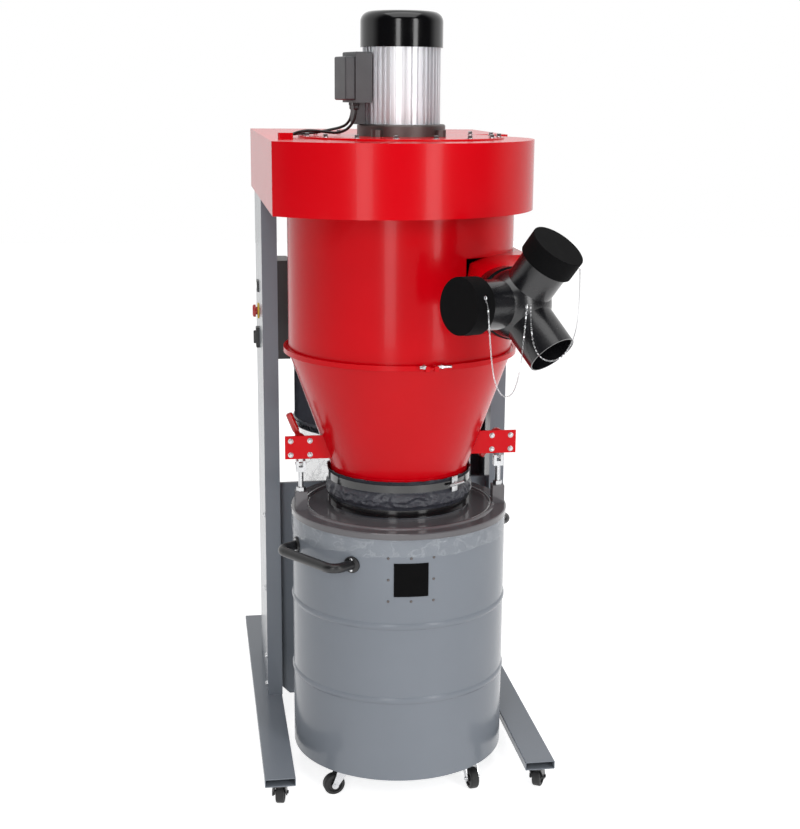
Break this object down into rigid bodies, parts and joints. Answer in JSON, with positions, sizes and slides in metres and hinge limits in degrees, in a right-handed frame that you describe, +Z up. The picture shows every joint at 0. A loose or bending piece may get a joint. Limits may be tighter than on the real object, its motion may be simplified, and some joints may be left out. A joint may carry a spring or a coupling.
{
  "type": "mobile cyclone dust collector",
  "caption": "Mobile cyclone dust collector: fan and motor on a red barrel and cone, three-way hose inlet, round filter behind, and a wheeled drum under a lifting lid.",
  "frame": {"origin": "on the floor under the axis of the cyclone, drum and motor", "axes": "+Z up; -Y is the front, where the hose ports and the drum are; +X is the right side seen from the front"},
  "size_m": [0.672, 1.3358, 1.773],
  "materials": {
    "grey_paint": "smooth semi-gloss grey powder coat",
    "red_paint": "high-gloss red powder coat",
    "black_plastic": "fine-grained black moulding",
    "black_moulding": "shiny black moulding",
    "red_plastic": "smooth red moulding",
    "yellow_plastic": "smooth yellow moulding",
    "bare_aluminium": "die-cast aluminium with upright fins",
    "dark_casting": "dark painted casting",
    "chain_steel": "small bright steel links",
    "cable_rubber": "smooth black cable jacket",
    "zinc_plate": "bright zinc plate",
    "clear_film": "clear crinkled film",
    "filter_cloth": "dark filter cloth",
    "sleeve_cloth": "crinkled coated cloth",
    "wheel_rubber": "black rubber tread"
  },
  "bodies": {
    "root": {"left_leg": "grey_paint", "right_leg": "grey_paint", "rear_crossbar": "grey_paint", "left_side_panel": "grey_paint", "right_side_panel": "grey_paint", "lower_back_panel": "grey_paint", "drum": "grey_paint", "cyclone_barrel": "red_paint", "inlet_duct": "red_paint", "cone": "red_paint", "joint_clamp_ring": "red_paint", "fan_housing": "red_paint", "motor_cover_plate": "red_paint", "filter_plenum": "red_paint", "lift_brackets": "red_paint", "control_box": "black_plastic", "speed_display": "black_plastic", "power_switch": "black_plastic", "terminal_box": "black_plastic", "motor_cowl": "black_plastic", "drum_handles": "black_plastic", "upper_sleeve_band": "black_plastic", "inlet_manifold": "black_moulding", "side_port_cap": "black_moulding", "top_port_cap": "black_moulding", "emergency_stop_collar": "yellow_plastic", "motor_body": "bare_aluminium", "motor_flange": "dark_casting", "side_cap_chain": "chain_steel", "top_cap_chain": "chain_steel", "motor_cables": "cable_rubber", "caster_plates": "zinc_plate", "bag_liner_rim": "clear_film", "filter_dust_bag": "clear_film", "filter_canister": "filter_cloth", "neck_sleeve": "sleeve_cloth"},
    "lid": {"drum_lid": "grey_paint", "lid_lugs": "grey_paint", "left_lift_rod": "zinc_plate", "right_lift_rod": "zinc_plate", "lower_sleeve_band": "black_plastic"},
    "left_lever": {"left_lift_lever": "red_plastic"},
    "right_lever": {"right_lift_lever": "red_plastic"},
    "stop_button": {"emergency_stop_button": "red_plastic"},
    "front_left_fork": {"front_left_caster_fork": "black_plastic"},
    "front_left_wheel": {"front_left_caster_wheel": "wheel_rubber"},
    "front_right_fork": {"front_right_caster_fork": "black_plastic"},
    "front_right_wheel": {"front_right_caster_wheel": "wheel_rubber"},
    "rear_left_fork": {"rear_left_caster_fork": "black_plastic"},
    "rear_left_wheel": {"rear_left_caster_wheel": "wheel_rubber"},
    "rear_right_fork": {"rear_right_caster_fork": "black_plastic"},
    "rear_right_wheel": {"rear_right_caster_wheel": "wheel_rubber"},
    "drum_front_left_fork": {"drum_front_left_caster_fork": "zinc_plate"},
    "drum_front_left_wheel": {"drum_front_left_caster_wheel": "wheel_rubber"},
    "drum_front_right_fork": {"drum_front_right_caster_fork": "zinc_plate"},
    "drum_front_right_wheel": {"drum_front_right_caster_wheel": "wheel_rubber"},
    "drum_rear_left_fork": {"drum_rear_left_caster_fork": "zinc_plate"},
    "drum_rear_left_wheel": {"drum_rear_left_caster_wheel": "wheel_rubber"},
    "drum_rear_right_fork": {"drum_rear_right_caster_fork": "zinc_plate"},
    "drum_rear_right_wheel": {"drum_rear_right_caster_wheel": "wheel_rubber"}
  },
  "joints": [
    {"name": "lid_lift", "type": "slide", "parent": "root", "child": "lid", "axis": [0, 0, 1], "range_m": [0, 0.02], "deforming": ["neck_sleeve"]},
    {"name": "left_lever_turn", "type": "hinge", "parent": "root", "child": "left_lever", "pos_m": [-0.232, -0.002, 0.818], "axis": [0, -1, 0], "range_deg": [0, 80]},
    {"name": "right_lever_turn", "type": "hinge", "parent": "root", "child": "right_lever", "pos_m": [0.232, -0.002, 0.818], "axis": [0, -1, 0], "range_deg": [0, 80]},
    {"name": "emergency_stop_press", "type": "slide", "parent": "root", "child": "stop_button", "axis": [1, 0, 0], "range_m": [0, 0.003], "stiffness_N_per_m": 2000},
    {"name": "front_left_swivel", "type": "hinge", "parent": "root", "child": "front_left_fork", "pos_m": [-0.301, -0.2, 0.056], "axis": [0, 0, 1], "continuous": true},
    {"name": "front_left_roll", "type": "hinge", "parent": "front_left_fork", "child": "front_left_wheel", "pos_m": [-0.29718, -0.17833, 0.025], "axis": [0.9848, -0.1736, 0], "continuous": true},
    {"name": "front_right_swivel", "type": "hinge", "parent": "root", "child": "front_right_fork", "pos_m": [0.301, -0.2, 0.056], "axis": [0, 0, 1], "continuous": true},
    {"name": "front_right_roll", "type": "hinge", "parent": "front_right_fork", "child": "front_right_wheel", "pos_m": [0.312, -0.18095, 0.025], "axis": [0.866, -0.5, 0], "continuous": true},
    {"name": "rear_left_swivel", "type": "hinge", "parent": "root", "child": "rear_left_fork", "pos_m": [-0.301, 0.752, 0.056], "axis": [0, 0, 1], "continuous": true},
    {"name": "rear_left_roll", "type": "hinge", "parent": "rear_left_fork", "child": "rear_left_wheel", "pos_m": [-0.29718, 0.77367, 0.025], "axis": [0.9848, -0.1736, 0], "continuous": true},
    {"name": "rear_right_swivel", "type": "hinge", "parent": "root", "child": "rear_right_fork", "pos_m": [0.301, 0.752, 0.056], "axis": [0, 0, 1], "continuous": true},
    {"name": "rear_right_roll", "type": "hinge", "parent": "rear_right_fork", "child": "rear_right_wheel", "pos_m": [0.29348, 0.77267, 0.025], "axis": [0.9397, 0.342, 0], "continuous": true},
    {"name": "drum_front_left_swivel", "type": "hinge", "parent": "root", "child": "drum_front_left_fork", "pos_m": [-0.14991, -0.14991, 0.06], "axis": [0, 0, 1], "continuous": true},
    {"name": "drum_front_left_roll", "type": "hinge", "parent": "drum_front_left_fork", "child": "drum_front_left_wheel", "pos_m": [-0.17157, -0.15373, 0.025], "axis": [-0.1736, 0.9848, 0], "continuous": true},
    {"name": "drum_front_right_swivel", "type": "hinge", "parent": "root", "child": "drum_front_right_fork", "pos_m": [0.14991, -0.14991, 0.06], "axis": [0, 0, 1], "continuous": true},
    {"name": "drum_front_right_roll", "type": "hinge", "parent": "drum_front_right_fork", "child": "drum_front_right_wheel", "pos_m": [0.15373, -0.17157, 0.025], "axis": [-0.9848, -0.1736, 0], "continuous": true},
    {"name": "drum_rear_left_swivel", "type": "hinge", "parent": "root", "child": "drum_rear_left_fork", "pos_m": [-0.14991, 0.14991, 0.06], "axis": [0, 0, 1], "continuous": true},
    {"name": "drum_rear_left_roll", "type": "hinge", "parent": "drum_rear_left_fork", "child": "drum_rear_left_wheel", "pos_m": [-0.16896, 0.16091, 0.025], "axis": [0.5, 0.866, 0], "continuous": true},
    {"name": "drum_rear_right_swivel", "type": "hinge", "parent": "root", "child": "drum_rear_right_fork", "pos_m": [0.14991, 0.14991, 0.06], "axis": [0, 0, 1], "continuous": true},
    {"name": "drum_rear_right_roll", "type": "hinge", "parent": "drum_rear_right_fork", "child": "drum_rear_right_wheel", "pos_m": [0.17058, 0.15743, 0.025], "axis": [0.342, -0.9397, 0], "continuous": true}
  ],
  "couplings": [
    {"joint": "left_lever_turn", "follows": "lid_lift", "rad_per_m": 69.81},
    {"joint": "right_lever_turn", "follows": "lid_lift", "rad_per_m": 69.81}
  ]
}
